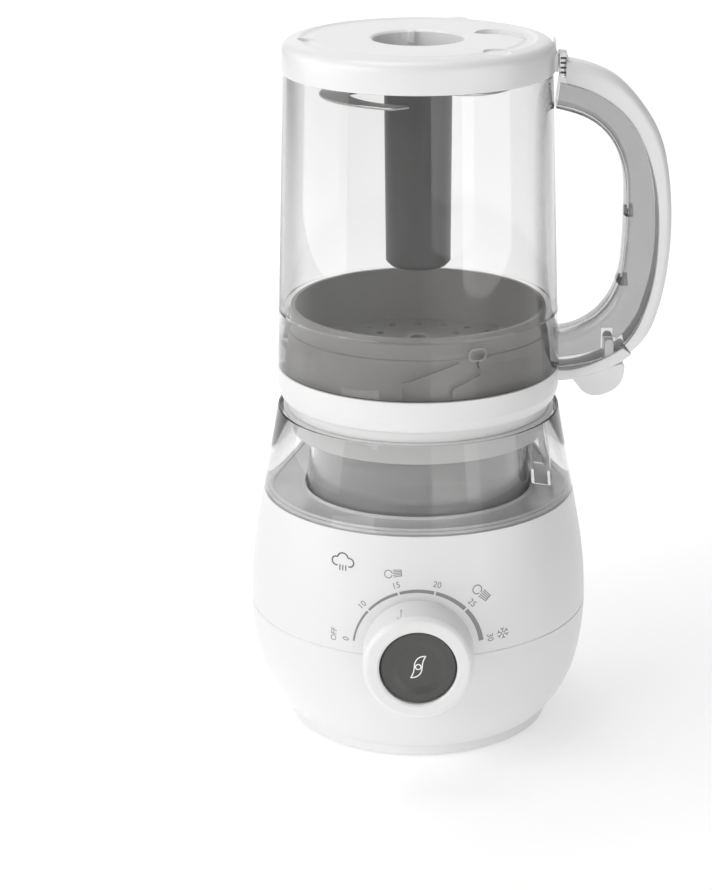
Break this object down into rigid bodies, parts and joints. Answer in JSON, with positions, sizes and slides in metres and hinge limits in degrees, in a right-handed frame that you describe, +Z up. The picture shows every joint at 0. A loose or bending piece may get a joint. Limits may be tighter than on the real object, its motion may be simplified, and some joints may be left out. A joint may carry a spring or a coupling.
{
  "type": "baby food maker",
  "caption": "Round steamer and blender for baby food: white base with timer knob and button, clear water tank, clear handled jar stood upside down on it, with blade unit.",
  "frame": {"origin": "on the main axis in the plane that the base stands on", "axes": "+Z up along the main axis; the front with the knob faces -Y; the jar handle is at +X"},
  "size_m": [0.1913, 0.1762, 0.3183],
  "materials": {
    "white_shell": "smooth satin-gloss white moulding",
    "clear_smoke": "clear smoky moulded plastic",
    "frosted_seat": "light translucent plastic",
    "grey_core": "satin mid grey",
    "tray_grey": "satin warm grey",
    "dark_grey": "satin dark grey",
    "steel": "bright steel",
    "rubber_black": "matt rubber",
    "silicone": "soft translucent silicone",
    "aluminium_boiler": "cast aluminium",
    "copper": "enamelled copper wire",
    "iron_core": "laminated electrical steel",
    "carbon": "carbon",
    "black_plastic": "black glass-filled plastic",
    "board_green": "printed circuit board",
    "bush_white": "acetal"
  },
  "bodies": {
    "main_unit": {"base_plate": "white_shell", "foot_ring": "rubber_black", "base_screws": "steel", "lower_shell": "white_shell", "upper_shell": "white_shell", "cord_gland": "dark_grey", "water_tank": "clear_smoke", "tank_core": "grey_core", "jar_seat": "frosted_seat", "fill_chute": "clear_smoke", "tank_seal": "silicone", "boiler_body": "aluminium_boiler", "boiler_cover": "aluminium_boiler", "heating_element": "aluminium_boiler", "thermostat": "aluminium_boiler", "thermal_fuse": "black_plastic", "water_hose": "silicone", "steam_pipe": "silicone", "steam_nozzle": "silicone", "motor_stator": "iron_core", "field_coils": "copper", "motor_upper_bracket": "steel", "motor_lower_bracket": "steel", "motor_bearings": "steel", "brush_holders": "black_plastic", "carbon_brushes": "carbon", "motor_bushes": "rubber_black", "core_screws": "steel", "coupling_seal": "rubber_black", "timer_unit": "black_plastic", "knob_bezel": "white_shell", "blend_switch": "black_plastic", "control_board": "board_green", "jar_switch": "black_plastic"},
    "rotor": {"motor_shaft": "steel", "armature_core": "iron_core", "armature_windings": "copper", "commutator": "copper", "cooling_fan": "black_plastic", "drive_coupling": "black_plastic"},
    "knob": {"timer_knob": "white_shell", "timer_shaft": "black_plastic"},
    "button": {"blend_button": "dark_grey", "button_spring": "steel"},
    "lid": {"lid_ring": "white_shell", "thumb_tab": "white_shell", "inlet_valve": "silicone", "steam_tray": "tray_grey"},
    "seal": {"lid_seal": "silicone"},
    "jar": {"jar_wall": "clear_smoke", "jar_handle_core": "clear_smoke", "handle_grip": "white_shell", "jar_cap": "white_shell", "cap_clip": "white_shell", "interlock_tongue": "clear_smoke", "blade_bush": "bush_white"},
    "blade_unit": {"blade_hub": "dark_grey", "blades": "steel", "blade_shaft": "steel", "jar_coupling": "dark_grey"}
  },
  "joints": [
    {"name": "motor_spin", "type": "hinge", "parent": "main_unit", "child": "rotor", "pos_m": [0, 0, 0.07], "axis": [0, 0, 1], "continuous": true},
    {"name": "timer_turn", "type": "hinge", "parent": "main_unit", "child": "knob", "pos_m": [0, -0.09, 0.0605], "axis": [0, 1, 0], "range_deg": [-62.5, 96.5]},
    {"name": "button_press", "type": "slide", "parent": "main_unit", "child": "button", "axis": [0, 1, 0], "range_m": [0, 0.0025], "stiffness_N_per_m": 300, "springref_m": -0.003, "deforming": ["button_spring"]},
    {"name": "jar_lift", "type": "slide", "parent": "main_unit", "child": "lid", "axis": [0, 0, 1], "range_m": [0, 0.13]},
    {"name": "lid_twist", "type": "hinge", "parent": "lid", "child": "seal", "pos_m": [0, 0, 0.17], "axis": [0, 0, 1], "range_deg": [0, 25]},
    {"name": "lid_unscrew", "type": "slide", "parent": "seal", "child": "jar", "axis": [0, 0, 1], "range_m": [0, 0.01126]},
    {"name": "blade_spin", "type": "hinge", "parent": "jar", "child": "blade_unit", "pos_m": [0, 0, 0.25], "axis": [0, 0, 1], "continuous": true}
  ],
  "couplings": [
    {"joint": "lid_unscrew", "follows": "lid_twist", "m_per_rad": 0.025783}
  ]
}
